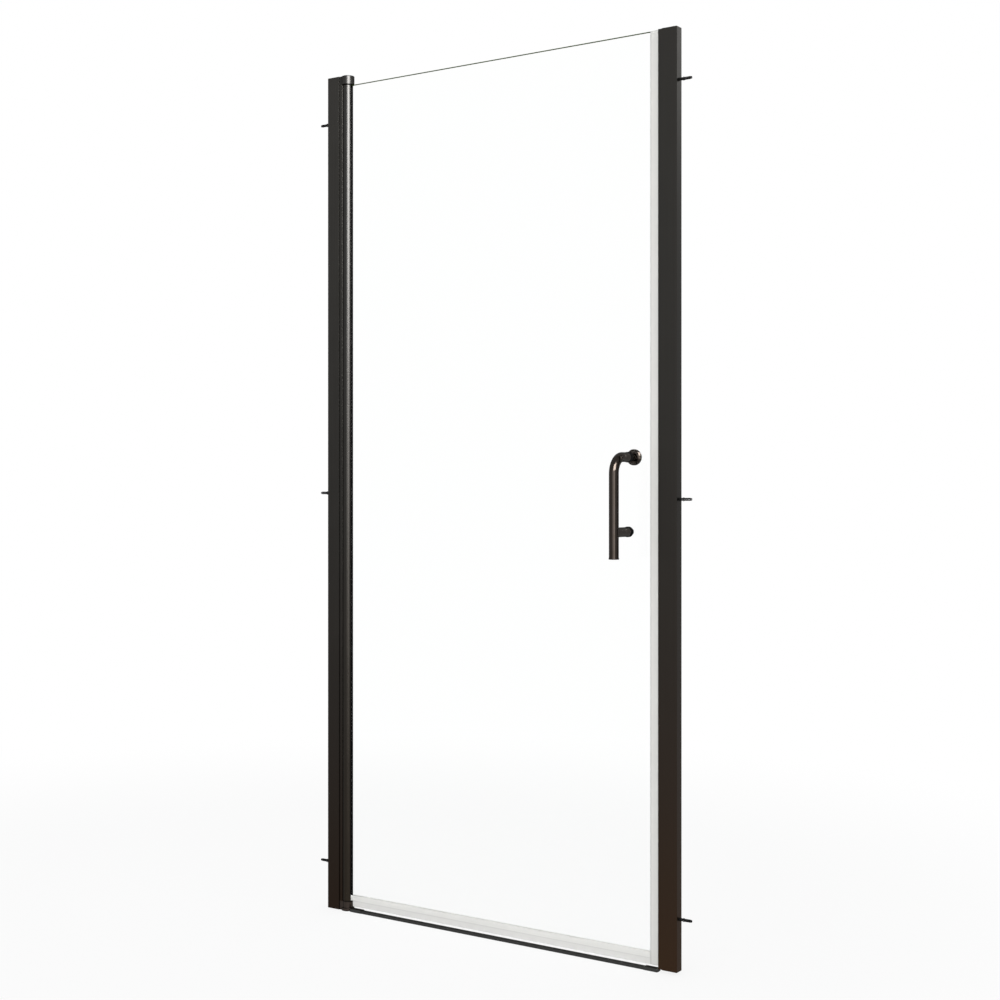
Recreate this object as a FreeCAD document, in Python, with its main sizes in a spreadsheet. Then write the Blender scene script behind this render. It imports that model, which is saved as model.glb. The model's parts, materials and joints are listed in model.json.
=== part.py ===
import FreeCAD, Part
import math
import operator
import os
from collections import namedtuple
from types import SimpleNamespace

import Sketcher

# A pivot shower door between two walls. X runs from the hinge wall to the strike wall, Y from the
# room into the shower and Z up from the curb. The hinge wall is at X 0, and the middle of the
# glass at Y 0. The leaf turns outwards, towards the room.

# Driving sizes in millimetres
SIZES = {
    # Doorway
    "opening_width": 864.0,
    "hinge_height": 1829.0,
    "strike_foot": 6.0,
    # Wall channels
    "channel_width": 32.0,
    "channel_depth": 21.0,
    "channel_wall": 1.6,
    "channel_corner": 1.5,
    "slide_gap": 0.2,
    # Jambs that slide in the channels
    "jamb_wall": 1.5,
    "jamb_back_gap": 12.0,
    "strike_reach": 41.0,
    "groove_width": 9.2,
    "groove_depth": 5.0,
    "port_radius": 2.8,
    "port_inset": 5.5,
    "port_offset": 4.9,
    # Pivots
    "pivot_offset": 49.2,
    "cap_diameter": 28.0,
    "cap_height": 18.5,
    "cap_round": 1.5,
    "block_height": 19.5,
    "block_base_height": 5.6,
    "block_base_edge": 0.5,
    "bush_wall": 2.0,
    "bush_depth": 12.0,
    "bush_flange": 1.8,
    "bush_flange_diameter": 18.0,
    "pin_diameter": 6.0,
    "pin_reach": 9.0,
    "pin_grip": 28.0,
    "pin_chamfer": 0.6,
    "running_gap": 0.05,
    "seat_gap": 0.02,
    "thrust_gap": 0.2,
    "lift_gap": 0.6,
    # Hinge stile
    "stile_diameter": 22.0,
    "stile_wall": 1.6,
    "stile_gap": 1.0,
    "web_offset": 4.6,
    "web_wall": 1.2,
    "plug_length": 35.0,
    "plug_gap": 0.1,
    # Glass and its black channel
    "glass_thickness": 6.0,
    "glass_foot": 24.6,
    "glass_edge_gap": 10.0,
    "glass_arris": 0.5,
    "glazing_wall": 1.5,
    "glazing_base": 1.2,
    "glazing_proud": 0.4,
    "glazing_taper": 1.6,
    "glazing_fit": 0.05,
    "glazing_top_drop": 0.5,
    # Clear seals and magnets
    "seal_wall": 1.2,
    "seal_leg": 9.6,
    "seal_foot": 11.0,
    "seal_gap": 0.3,
    "magnet_gap": 0.5,
    "magnet_width": 7.0,
    "magnet_fit": 0.1,
    "carrier_proud": 2.0,
    "carrier_flange": 1.4,
    "carrier_lift": 1.2,
    "sweep_leg": 9.9,
    "sweep_web": 1.4,
    "fin_setback": 6.0,
    "drip_reach": 4.2,
    "drip_drop": 7.5,
    "drip_wall": 1.3,
    # Threshold
    "threshold_depth": 12.0,
    "threshold_height": 5.5,
    "threshold_round": 1.6,
    "threshold_wall": 1.5,
    "end_cap_length": 30.0,
    "end_cap_rise": 1.0,
    "end_cap_round": 1.2,
    "end_cap_gap": 0.4,
    # Screws and wall plugs
    "plug_diameter": 6.0,
    "plug_hole_gap": 0.1,
    "wall_plug_length": 26.7,
    "wall_plug_taper": 4.0,
    "wall_plug_nose": 0.7,
    "wall_plug_neck_step": 0.4,
    "wall_screw_inset": 100.0,
    "wall_screw_diameter": 3.8,
    "wall_screw_head": 7.6,
    "wall_screw_head_height": 2.4,
    "wall_screw_length": 26.0,
    "jamb_screw_inset": 160.0,
    "jamb_screw_lip": 6.0,
    "jamb_screw_length": 7.5,
    "small_screw_diameter": 3.5,
    "small_screw_head": 6.8,
    "small_screw_head_height": 2.2,
    "bracket_screw_length": 30.0,
    "counterbore_depth": 3.0,
    "screw_hole_gap": 0.25,
    "thread_gap": 0.05,
    "recess_width": 0.9,
    # Handle
    "handle_backset": 57.5,
    "handle_height": 988.0,
    "hole_spacing": 145.0,
    "hole_diameter": 12.0,
    "bar_diameter": 19.0,
    "bar_reach": 58.0,
    "bar_tail": 48.5,
    "bar_bend": 32.0,
    "tube_wall": 1.5,
    "bar_cap_diameter": 20.0,
    "bar_cap_height": 3.0,
    "bar_cap_edge": 0.8,
    "bar_cap_spigot": 6.0,
    "post_diameter": 18.8,
    "weld_gap": 0.05,
    "insert_depth": 10.0,
    "insert_fit": 0.05,
    "stud_diameter": 6.0,
    "stud_grip": 8.5,
    "stud_bite": 5.5,
    "blind_gap": 0.3,
    "sleeve_fit": 0.1,
    "collar_diameter": 20.6,
    "collar_length": 6.8,
    "collar_edge": 0.6,
    "back_washer_diameter": 15.0,
    "back_washer_thickness": 1.0,
    "lower_screw_head": 12.4,
    "lower_screw_head_height": 1.4,
    "lower_screw_chamfer": 0.6,
    "knob_diameter": 31.6,
    "knob_length": 24.0,
    "knob_neck": 14.4,
    "knob_face": 14.0,
    "knob_dome": 11.5,
    "knob_flare": 13.0,
    # How far every cut runs past the solid that it opens
    "overrun": 1.0,
}

# Where along its length the knob's neck ends, and where its widest band starts and ends
KNOB_NECK_SHARE = 0.38
KNOB_BAND_SHARES = (0.5, 0.68)
# How deep a screw's cross recess goes into its head, how long its arms are, and how domed the head is
RECESS_DEPTH_SHARE = 0.6
RECESS_ARM_SHARE = 0.62
HEAD_CROWN_SHARE = 0.65

Arc = namedtuple("Arc", "radius side large", defaults=(False,))
SIGNS = {"+": operator.add, "-": operator.sub, "*": operator.mul, "/": operator.truediv}
LEFT = 1
RIGHT = -1


class Size:
    """A length with its present value and its formula over the sheet's cells."""

    def __init__(self, value, formula):
        self.value = value
        self.formula = formula

    def __add__(self, other):
        return combined(self, "+", other)

    def __radd__(self, other):
        return combined(other, "+", self)

    def __sub__(self, other):
        return combined(self, "-", other)

    def __rsub__(self, other):
        return combined(other, "-", self)

    def __mul__(self, other):
        return combined(self, "*", other)

    def __rmul__(self, other):
        return combined(other, "*", self)

    def __truediv__(self, other):
        return combined(self, "/", other)

    def __neg__(self):
        return combined(0, "-", self)


def sized(number):
    """A plain number as a Size."""
    if isinstance(number, Size):
        return number
    return Size(number, repr(float(number)))


def combined(first, sign, second):
    """Two sizes joined by an arithmetic sign."""
    first = sized(first)
    second = sized(second)
    value = SIGNS[sign](first.value, second.value)
    return Size(value, f"({first.formula} {sign} {second.formula})")


def across(long_side, short_side):
    """The third side of a right triangle, from its longest side and one other."""
    square = long_side * long_side - short_side * short_side
    return Size(math.sqrt(square.value), f"sqrt({square.formula})")


# The document, its sheet of sizes and the list of finished pieces
document = FreeCAD.newDocument("shower_door")
sheet = document.addObject("Spreadsheet::Sheet", "sizes")
for row, (alias, length) in enumerate(SIZES.items(), start=1):
    sheet.set(f"A{row}", alias)
    sheet.set(f"B{row}", str(length))
    sheet.setAlias(f"B{row}", alias)
document.recompute()
dim = SimpleNamespace(**{alias: Size(length, f"sizes.{alias}") for alias, length in SIZES.items()})
pieces = []


# Sketches and features
def new_body(label, kept=True):
    """An empty body, which is written to a file of its own if it is kept."""
    body = document.addObject("PartDesign::Body", label)
    body.Label = label
    if kept:
        pieces.append(body)
    return body


def put(thing, x=0, y=0, z=0, turn=None):
    """Place a body or a copy, with its coordinates bound to the sheet."""
    if turn is not None:
        thing.Placement = FreeCAD.Placement(FreeCAD.Vector(), turn)
    for axis, place in zip("xyz", (x, y, z)):
        thing.setExpression(f"Placement.Base.{axis}", sized(place).formula)


def new_sketch(body, role, lift=0):
    """An empty sketch on one of the body's own planes, lifted along that plane's normal."""
    sketch = body.newObject("Sketcher::SketchObject", "Section")
    plane = next(feature for feature in body.Origin.OriginFeatures if feature.Role == role)
    sketch.AttachmentSupport = (plane, [""])
    sketch.MapMode = "FlatFace"
    sketch.setExpression("AttachmentOffset.Base.z", sized(lift).formula)
    return sketch


def bind(sketch, constraint, size):
    """Add a constraint and tie its value to the sheet."""
    index = sketch.addConstraint(constraint)
    sketch.setExpression(f"Constraints[{index}]", size.formula)


def hold(sketch, geometry, end, place):
    """Hold one point of a sketch's geometry at its two coordinates."""
    for kind, coordinate in zip(("DistanceX", "DistanceY"), place):
        size = sized(coordinate)
        bind(sketch, Sketcher.Constraint(kind, -1, 1, geometry, end, size.value), size)


def point(place):
    return FreeCAD.Vector(sized(place[0]).value, sized(place[1]).value, 0)


def run(start, finish, arc):
    """The straight line or the arc from one point to the next."""
    if arc is None:
        return Part.LineSegment(start, finish)
    chord = finish - start
    across_chord = FreeCAD.Vector(-chord.y, chord.x, 0).normalize()
    depth = math.sqrt(arc.radius.value ** 2 - (chord.Length / 2) ** 2)
    rise = arc.radius.value + depth if arc.large else arc.radius.value - depth
    return Part.Arc(start, start + chord / 2 + across_chord * rise * arc.side, finish)


def outline(body, role, places, lift=0, closed=True):
    """A sketch of runs between places. A place that starts an arc has it as a third entry."""
    sketch = new_sketch(body, role, lift)
    add_outline(sketch, places, closed)
    return sketch


def add_outline(sketch, places, closed=True):
    first = sketch.GeometryCount
    count = len(places) if closed else len(places) - 1
    starts = []
    ends = []
    for index in range(count):
        place = places[index]
        arc = place[2] if len(place) > 2 else None
        start = point(place)
        geometry = sketch.addGeometry(run(start, point(places[(index + 1) % len(places)]), arc))
        forward = sketch.getPoint(geometry, 1).isEqual(start, Part.Precision.confusion())
        starts.append((geometry, 1 if forward else 2))
        ends.append((geometry, 2 if forward else 1))
        if arc is not None:
            bind(sketch, Sketcher.Constraint("Radius", geometry, arc.radius.value), arc.radius)
    for index in range(count):
        hold(sketch, *starts[index], places[index])
        if closed or index + 1 < count:
            following = starts[(index + 1) % count]
            sketch.addConstraint(Sketcher.Constraint("Coincident", *ends[index], *following))
    if not closed:
        hold(sketch, *ends[-1], places[-1])


def circles(body, role, rounds, lift=0):
    """A sketch of circles, each given by its centre and radius."""
    sketch = new_sketch(body, role, lift)
    for x, y, radius in rounds:
        circle = Part.Circle(point((x, y)), FreeCAD.Vector(0, 0, 1), radius.value)
        geometry = sketch.addGeometry(circle)
        hold(sketch, geometry, 3, (x, y))
        bind(sketch, Sketcher.Constraint("Radius", geometry, radius.value), radius)
    return sketch


def pad(body, sketch, length, symmetric=False):
    feature = body.newObject("PartDesign::Pad", "Pad")
    feature.Profile = sketch
    feature.setExpression("Length", sized(length).formula)
    if symmetric:
        feature.SideType = "Symmetric"
    document.recompute()


def pocket(body, sketch, length, along_normal=False, symmetric=False):
    """Cut a sketch into the body, against its plane's normal unless told otherwise."""
    before = body.Shape.Volume
    feature = body.newObject("PartDesign::Pocket", "Pocket")
    feature.Profile = sketch
    feature.Reversed = along_normal
    feature.setExpression("Length", sized(length).formula)
    if symmetric:
        feature.SideType = "Symmetric"
    document.recompute()
    if not body.Shape.Volume < before:
        raise ValueError(f"a cut in {body.Label} removed nothing")


def revolve(body, sketch, axis):
    feature = body.newObject("PartDesign::Revolution", "Revolution")
    feature.Profile = sketch
    feature.ReferenceAxis = (sketch, [axis])
    document.recompute()


def dress(body, kind, measure, size, wanted):
    """Round or bevel the edges of the body that the test picks."""
    base = body.Tip
    names = [f"Edge{index}" for index, edge in enumerate(base.Shape.Edges, start=1) if wanted(edge)]
    feature = body.newObject(f"PartDesign::{kind}", kind)
    feature.Base = (base, names)
    feature.setExpression(measure, size.formula)
    document.recompute()


def near(first, second):
    return abs(first - second.value) < Part.Precision.confusion()


def ring(body, outer, inner, front, back):
    """A disc or ring about the body's Y axis, from its front face to its back face."""
    rounds = [(0, 0, outer)]
    if inner is not None:
        rounds.append((0, 0, inner))
    pad(body, circles(body, "XZ_Plane", rounds, lift=-back), back - front)


def group(label, pattern, places):
    """Copies of one body as separate solids of one piece."""
    copies = []
    for x, y, z, turn in places:
        copy = document.addObject("App::Link", f"{label}_copy")
        copy.LinkedObject = pattern
        put(copy, x, y, z, turn)
        copies.append(copy)
    compound = document.addObject("Part::Compound", label)
    compound.Label = label
    compound.Links = copies
    document.recompute()
    pieces.append(compound)


def turned_about(x, y, z, degrees):
    return FreeCAD.Rotation(FreeCAD.Vector(x, y, z), degrees)


# Sizes that several pieces share
hinge_wall = sized(0)
strike_wall = dim.opening_width
jamb_half = dim.channel_depth / 2 - dim.channel_wall - dim.slide_gap
jamb_back = dim.jamb_back_gap
strike_nose = strike_wall - dim.strike_reach
pivot = dim.pivot_offset
stile_radius = dim.stile_diameter / 2
pin_radius = dim.pin_diameter / 2
bush_bore = pin_radius + dim.running_gap
bush_radius = bush_bore + dim.bush_wall
cap_bottom = dim.hinge_height - dim.cap_height
stile_foot = dim.block_height + dim.bush_flange + dim.thrust_gap
stile_top = cap_bottom - dim.bush_flange - dim.lift_gap
strike_top = stile_top
slot_floor = dim.web_offset + dim.web_wall
glass_half = dim.glass_thickness / 2
glass_near = pivot + slot_floor + dim.glazing_fit + dim.glazing_base
glass_far = strike_nose - dim.glass_edge_gap
clip_inner = glass_half + dim.glazing_fit
clip_outer = clip_inner + dim.seal_wall
seal_near = glass_far - dim.seal_leg
seal_face = strike_nose - dim.carrier_proud - dim.magnet_gap
sweep_near = pivot + stile_radius + dim.seal_gap
sweep_top = dim.glass_foot + dim.sweep_leg
small_screw_radius = dim.small_screw_diameter / 2
small_hole = small_screw_radius + dim.screw_hole_gap
wall_screw_radius = dim.wall_screw_diameter / 2
stud_radius = dim.stud_diameter / 2
stud_hole = stud_radius + dim.thread_gap
handle_x = glass_far - dim.handle_backset
lower_hole = dim.handle_height - dim.hole_spacing
handle_holes = (dim.handle_height, lower_hole)
tube_end = -(glass_half + dim.collar_length)
knob_seat = glass_half + dim.back_washer_thickness


def three_heights(foot, top, inset):
    """Near the foot, half way up and near the top of an upright."""
    return (foot + inset, (foot + top) / 2, top - inset)


def upright_ends(side):
    """The foot and the top of the wall channel on one side."""
    if side == LEFT:
        return sized(0), dim.hinge_height
    return dim.strike_foot, strike_top


# Wall channels, jambs and the screws that hold them
def wall_channel(label, wall, side):
    """A U channel with its back on a wall, open towards the doorway."""
    foot, top = upright_ends(side)
    half = dim.channel_depth / 2
    inner = half - dim.channel_wall
    lip = wall + side * dim.channel_width
    web = wall + side * dim.channel_wall
    body = new_body(label)
    put(body, z=foot)
    section = [
        (wall, -half), (lip, -half), (lip, -inner), (web, -inner),
        (web, inner), (lip, inner), (lip, half), (wall, half),
    ]
    pad(body, outline(body, "XY_Plane", section), top - foot)

    def wall_corner(edge):
        box = edge.BoundBox
        return near(box.XMin, wall) and near(box.XMax, wall) and box.ZLength > half.value

    dress(body, "Fillet", "Radius", dim.channel_corner, wall_corner)
    hole = dim.plug_diameter / 2 + dim.plug_hole_gap
    web_holes = [(0, z - foot, hole) for z in three_heights(foot, top, dim.wall_screw_inset)]
    pocket(body, circles(body, "YZ_Plane", web_holes, lift=wall), dim.channel_wall, along_normal=side == LEFT)
    lock_x = lip - side * dim.jamb_screw_lip
    lock_holes = [(lock_x, z - foot, small_hole) for z in three_heights(foot, top, dim.jamb_screw_inset)]
    pocket(body, circles(body, "XZ_Plane", lock_holes), half + dim.overrun)


def lock_screw_holes(body, wall, side, foot):
    """Pilot holes for the locking screws in a jamb's wall on the shower side."""
    ends = upright_ends(side)
    lock_x = wall + side * (dim.channel_width - dim.jamb_screw_lip)
    pilot = small_screw_radius + dim.thread_gap
    holes = [(lock_x, z - foot, pilot) for z in three_heights(*ends, dim.jamb_screw_inset)]
    pocket(body, circles(body, "XZ_Plane", holes), jamb_half + dim.overrun)


def hinge_jamb():
    """A hollow jamb whose end is hollowed round the stile, with two ports for the bracket screws."""
    body = new_body("hinge_jamb")
    foot = dim.block_height
    length = cap_bottom - foot
    put(body, z=foot)
    hollow = stile_radius + dim.stile_gap
    edge = pivot - across(hollow, jamb_half)
    section = [
        (jamb_back, -jamb_half), (edge, -jamb_half, Arc(hollow, LEFT)),
        (edge, jamb_half), (jamb_back, jamb_half),
    ]
    pad(body, outline(body, "XY_Plane", section), length)
    inner_half = jamb_half - dim.jamb_wall
    inner_hollow = hollow + dim.jamb_wall
    inner_edge = pivot - across(inner_hollow, inner_half)
    inner_back = jamb_back + dim.jamb_wall
    room = [
        (inner_back, -inner_half), (inner_edge, -inner_half, Arc(inner_hollow, LEFT)),
        (inner_edge, inner_half), (inner_back, inner_half),
    ]
    pocket(body, outline(body, "XY_Plane", room), length, along_normal=True)
    port_x = jamb_back + dim.port_inset
    ports = [(port_x, side * dim.port_offset, dim.port_radius) for side in (LEFT, RIGHT)]
    pad(body, circles(body, "XY_Plane", ports), length)
    pilot = small_screw_radius + dim.thread_gap
    bores = [(port_x, side * dim.port_offset, pilot) for side in (LEFT, RIGHT)]
    pocket(body, circles(body, "XY_Plane", bores), length, along_normal=True)
    lock_screw_holes(body, hinge_wall, LEFT, foot)


def strike_jamb():
    """A hollow jamb with a groove for the magnet's carrier."""
    body = new_body("strike_jamb")
    foot = dim.strike_foot
    length = strike_top - foot
    put(body, z=foot)
    back = strike_wall - jamb_back
    groove_half = dim.groove_width / 2
    groove_floor = strike_nose + dim.groove_depth
    section = [
        (strike_nose, -jamb_half), (back, -jamb_half), (back, jamb_half), (strike_nose, jamb_half),
        (strike_nose, groove_half), (groove_floor, groove_half),
        (groove_floor, -groove_half), (strike_nose, -groove_half),
    ]
    pad(body, outline(body, "XY_Plane", section), length)
    inner_half = jamb_half - dim.jamb_wall
    inner_near = groove_floor + dim.jamb_wall
    inner_far = back - dim.jamb_wall
    room = [
        (inner_near, -inner_half), (inner_far, -inner_half),
        (inner_far, inner_half), (inner_near, inner_half),
    ]
    pocket(body, outline(body, "XY_Plane", room), length, along_normal=True)
    lock_screw_holes(body, strike_wall, RIGHT, foot)


def turn_screw(body, tip, radius, head, head_height):
    """Turn a screw with its head's seat at X 0 and the given outline of its tip on the negative side."""
    crown = head * HEAD_CROWN_SHARE / 2
    section = tip + [
        (0, radius), (0, head / 2), (head_height / 2, head / 2), (head_height, crown), (head_height, 0),
    ]
    revolve(body, outline(body, "XZ_Plane", section), "H_Axis")
    arm = crown * RECESS_ARM_SHARE
    width = dim.recess_width / 2
    cross = [
        (arm, -width), (arm, width), (width, width), (width, arm), (-width, arm), (-width, width),
        (-arm, width), (-arm, -width), (-width, -width), (-width, -arm), (width, -arm), (width, -width),
    ]
    pocket(body, outline(body, "YZ_Plane", cross, lift=head_height), head_height * RECESS_DEPTH_SHARE)


def screw_pattern(label, diameter, head, head_height, length):
    """A pointed screw, to be copied into a group."""
    body = new_body(label, kept=False)
    radius = diameter / 2
    turn_screw(body, [(-length, 0), (diameter - length, radius)], radius, head, head_height)
    return body


def wall_plug_pattern():
    """A plug from X 0 into the wall, with a slimmer neck in the channel's web and a tapered tip."""
    body = new_body("wall_plug", kept=False)
    radius = dim.plug_diameter / 2
    neck = radius - dim.wall_plug_neck_step
    bore = wall_screw_radius + dim.thread_gap
    length = dim.wall_plug_length
    section = [
        (dim.channel_wall, bore), (dim.channel_wall, neck), (0, neck), (0, radius),
        (dim.wall_plug_taper - length, radius), (-length, radius - dim.wall_plug_nose), (-length, bore),
    ]
    revolve(body, outline(body, "XZ_Plane", section), "H_Axis")
    return body


def wall_fixings():
    """Plugs and screws at three heights on both walls, and the locking screws of both jambs."""
    plug = wall_plug_pattern()
    wall_screw = screw_pattern(
        "wall_screw", dim.wall_screw_diameter, dim.wall_screw_head,
        dim.wall_screw_head_height, dim.wall_screw_length)
    lock_screw = screw_pattern(
        "jamb_screw", dim.small_screw_diameter, dim.small_screw_head,
        dim.small_screw_head_height, dim.jamb_screw_length)
    plugs = []
    wall_screws = []
    lock_screws = []
    for wall, side in ((hinge_wall, LEFT), (strike_wall, RIGHT)):
        ends = upright_ends(side)
        facing = turned_about(0, 0, 1, 0 if side == LEFT else 180)
        seat = wall + side * dim.channel_wall
        lock_x = wall + side * (dim.channel_width - dim.jamb_screw_lip)
        for z in three_heights(*ends, dim.wall_screw_inset):
            plugs.append((wall, 0, z, facing))
            wall_screws.append((seat, 0, z, facing))
        for z in three_heights(*ends, dim.jamb_screw_inset):
            lock_screws.append((lock_x, dim.channel_depth / 2, z, turned_about(0, 0, 1, 90)))
    group("wall_plugs", plug, plugs)
    group("wall_screws", wall_screw, wall_screws)
    group("jamb_screws", lock_screw, lock_screws)


# Pivot brackets, bushes and pins
def bracket_tail(body, height):
    """The flat tail of a pivot bracket, which slides in the wall channel and covers the jamb's end."""
    start = jamb_back - pivot
    section = [(start, -jamb_half), (0, -jamb_half), (0, jamb_half), (start, jamb_half)]
    pad(body, outline(body, "XY_Plane", section), height)


def bracket_screw_holes(body, height, upwards):
    """Clearance holes with counterbores, which open at the top or the foot of a bracket."""
    port_x = jamb_back + dim.port_inset - pivot
    head_room = dim.small_screw_head / 2 + dim.screw_hole_gap
    lift = height if upwards else 0
    for radius, depth in ((small_hole, height), (head_room, dim.counterbore_depth)):
        holes = [(port_x, side * dim.port_offset, radius) for side in (LEFT, RIGHT)]
        pocket(body, circles(body, "XY_Plane", holes, lift=lift), depth, along_normal=not upwards)


def top_pivot_cap():
    """A round cap over the stile, with a tail on the jamb's top end."""
    body = new_body("top_pivot_cap")
    put(body, x=pivot, z=cap_bottom)
    radius = dim.cap_diameter / 2
    height = dim.cap_height
    section = [
        (0, 0), (radius, 0), (radius, height - dim.cap_round, Arc(dim.cap_round, RIGHT)),
        (radius - dim.cap_round, height), (0, height),
    ]
    revolve(body, outline(body, "XZ_Plane", section), "V_Axis")
    bracket_tail(body, height)
    seat = [(0, 0, bush_radius + dim.seat_gap)]
    pocket(body, circles(body, "XY_Plane", seat), dim.bush_depth + dim.seat_gap, along_normal=True)
    bracket_screw_holes(body, height, upwards=True)


def bottom_pivot_block():
    """A round block under the stile on a wider base, with a tail under the jamb."""
    body = new_body("bottom_pivot_block")
    put(body, x=pivot)
    base = dim.cap_diameter / 2
    edge = dim.block_base_edge
    height = dim.block_height
    section = [
        (0, 0), (base, 0), (base, dim.block_base_height - edge), (base - edge, dim.block_base_height),
        (stile_radius, dim.block_base_height), (stile_radius, height), (0, height),
    ]
    revolve(body, outline(body, "XZ_Plane", section), "V_Axis")
    bracket_tail(body, height)
    seat = [(0, 0, bush_radius + dim.seat_gap)]
    pocket(body, circles(body, "XY_Plane", seat, lift=height), dim.bush_depth + dim.seat_gap)
    bracket_screw_holes(body, height, upwards=False)


def pivot_bush(label, seat, way):
    """A flanged bush with its flange on the bracket's face and its sleeve inside the bracket."""
    body = new_body(label)
    put(body, x=pivot, z=seat)
    flange = dim.bush_flange_diameter / 2
    section = [
        (bush_bore, way * dim.bush_flange), (flange, way * dim.bush_flange), (flange, 0),
        (bush_radius, 0), (bush_radius, -way * dim.bush_depth), (bush_bore, -way * dim.bush_depth),
    ]
    revolve(body, outline(body, "XZ_Plane", section), "V_Axis")


def pivot_pin(label, bracket_face, stile_end, way):
    """A pin from inside the stile's plug to inside the bush. It points down where way is 1."""
    body = new_body(label)
    put(body, x=pivot)
    inner = stile_end + way * dim.pin_grip
    outer = bracket_face - way * dim.pin_reach
    chamfer = dim.pin_chamfer
    section = [
        (0, inner), (pin_radius - chamfer, inner), (pin_radius, inner - way * chamfer),
        (pin_radius, outer + way * chamfer), (pin_radius - chamfer, outer), (0, outer),
    ]
    revolve(body, outline(body, "XZ_Plane", section), "V_Axis")


def bracket_screws():
    """Two screws down through the cap's tail and two up through the block's tail."""
    pattern = screw_pattern(
        "bracket_screw", dim.small_screw_diameter, dim.small_screw_head,
        dim.small_screw_head_height, dim.bracket_screw_length)
    places = []
    for side in (LEFT, RIGHT):
        x = jamb_back + dim.port_inset
        y = side * dim.port_offset
        places.append((x, y, dim.hinge_height - dim.counterbore_depth, turned_about(0, 1, 0, -90)))
        places.append((x, y, dim.counterbore_depth, turned_about(0, 1, 0, 90)))
    group("pivot_bracket_screws", pattern, places)


# The leaf's stile, plugs and glass
def chamber(gap):
    """The outline of the stile's round chamber, drawn in by a gap."""
    radius = stile_radius - dim.stile_wall - gap
    flat = dim.web_offset - gap
    half = across(radius, flat)
    return [(flat, half, Arc(radius, RIGHT, large=True)), (flat, -half)]


def hinge_stile():
    """A round tube with a chamber for the end plugs and a slot for the glass."""
    body = new_body("hinge_stile")
    put(body, x=pivot, z=stile_foot)
    length = stile_top - stile_foot
    pad(body, circles(body, "XY_Plane", [(0, 0, stile_radius)]), length)
    pocket(body, outline(body, "XY_Plane", chamber(0)), length, along_normal=True)
    half = glass_half + dim.glazing_wall + dim.glazing_fit * 2
    mouth = stile_radius + dim.overrun
    slot = [(slot_floor, -half), (mouth, -half), (mouth, half), (slot_floor, half)]
    pocket(body, outline(body, "XY_Plane", slot), length, along_normal=True)


def stile_plug(label, foot):
    """A plug that fills one end of the stile's chamber and holds a pivot pin."""
    body = new_body(label)
    put(body, x=pivot, z=foot)
    pad(body, outline(body, "XY_Plane", chamber(dim.plug_gap)), dim.plug_length)
    bore = [(0, 0, pin_radius + dim.seat_gap)]
    pocket(body, circles(body, "XY_Plane", bore), dim.plug_length, along_normal=True)


def glazing_channel():
    """A black channel round the glass edge, seated in the stile's slot, with bevelled tips at its mouth."""
    body = new_body("glazing_channel")
    foot = sweep_top + dim.seal_gap
    put(body, x=pivot, z=foot)
    floor = slot_floor + dim.glazing_fit
    outer = glass_half + dim.glazing_wall + dim.glazing_fit
    tip = across(stile_radius, outer) + dim.glazing_proud
    taper = dim.glazing_taper
    half = [
        (floor, outer), (tip - taper, outer), (tip, outer - taper / 2),
        (tip, clip_inner), (floor + dim.glazing_base, clip_inner),
    ]
    other_half = [(x, -y) for x, y in reversed(half)]
    length = stile_top - dim.glazing_top_drop - foot
    pad(body, outline(body, "XY_Plane", half + other_half), length)


def glass_panel():
    """The glass, with bevelled edges and two holes for the handle."""
    body = new_body("glass_panel")
    section = [
        (glass_near, dim.glass_foot), (glass_far, dim.glass_foot),
        (glass_far, stile_top), (glass_near, stile_top),
    ]
    pad(body, outline(body, "XZ_Plane", section), dim.glass_thickness, symmetric=True)

    def long_edge(edge):
        return edge.Length > dim.glass_thickness.value

    dress(body, "Chamfer", "Size", dim.glass_arris, long_edge)
    holes = [(handle_x, z, dim.hole_diameter / 2) for z in handle_holes]
    pocket(body, circles(body, "XZ_Plane", holes), dim.glass_thickness + dim.overrun, symmetric=True)


# Clear seals, magnets and the threshold
def magnet_strip(label, near_side, far_side, foot, top):
    """A flat magnet with a small gap all round in its room."""
    body = new_body(label)
    put(body, z=foot)
    low = near_side + dim.magnet_fit
    high = far_side - dim.magnet_fit
    half = dim.magnet_width / 2 - dim.magnet_fit
    section = [(low, -half), (high, -half), (high, half), (low, half)]
    pad(body, outline(body, "XY_Plane", section), top - foot)


def door_magnet_seal():
    """A clip on the glass's strike edge with a hollow nose, and the magnet in that nose."""
    body = new_body("door_magnet_seal")
    foot = dim.seal_foot
    put(body, z=foot)
    web_near = glass_far + dim.glazing_fit
    web_far = web_near + dim.seal_wall
    nose = dim.magnet_width / 2 + dim.seal_wall
    section = [
        (seal_near, clip_inner), (web_near, clip_inner), (web_near, -clip_inner), (seal_near, -clip_inner),
        (seal_near, -clip_outer), (web_far, -clip_outer), (web_far, -nose), (seal_face, -nose),
        (seal_face, nose), (web_far, nose), (web_far, clip_outer), (seal_near, clip_outer),
    ]
    length = stile_top - foot
    pad(body, outline(body, "XY_Plane", section), length)
    far_side = seal_face - dim.seal_wall
    half = dim.magnet_width / 2
    room = [(web_far, -half), (far_side, -half), (far_side, half), (web_far, half)]
    pocket(body, outline(body, "XY_Plane", room), length, along_normal=True)
    magnet_strip("door_magnet_strip", web_far, far_side, foot, stile_top)


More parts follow.
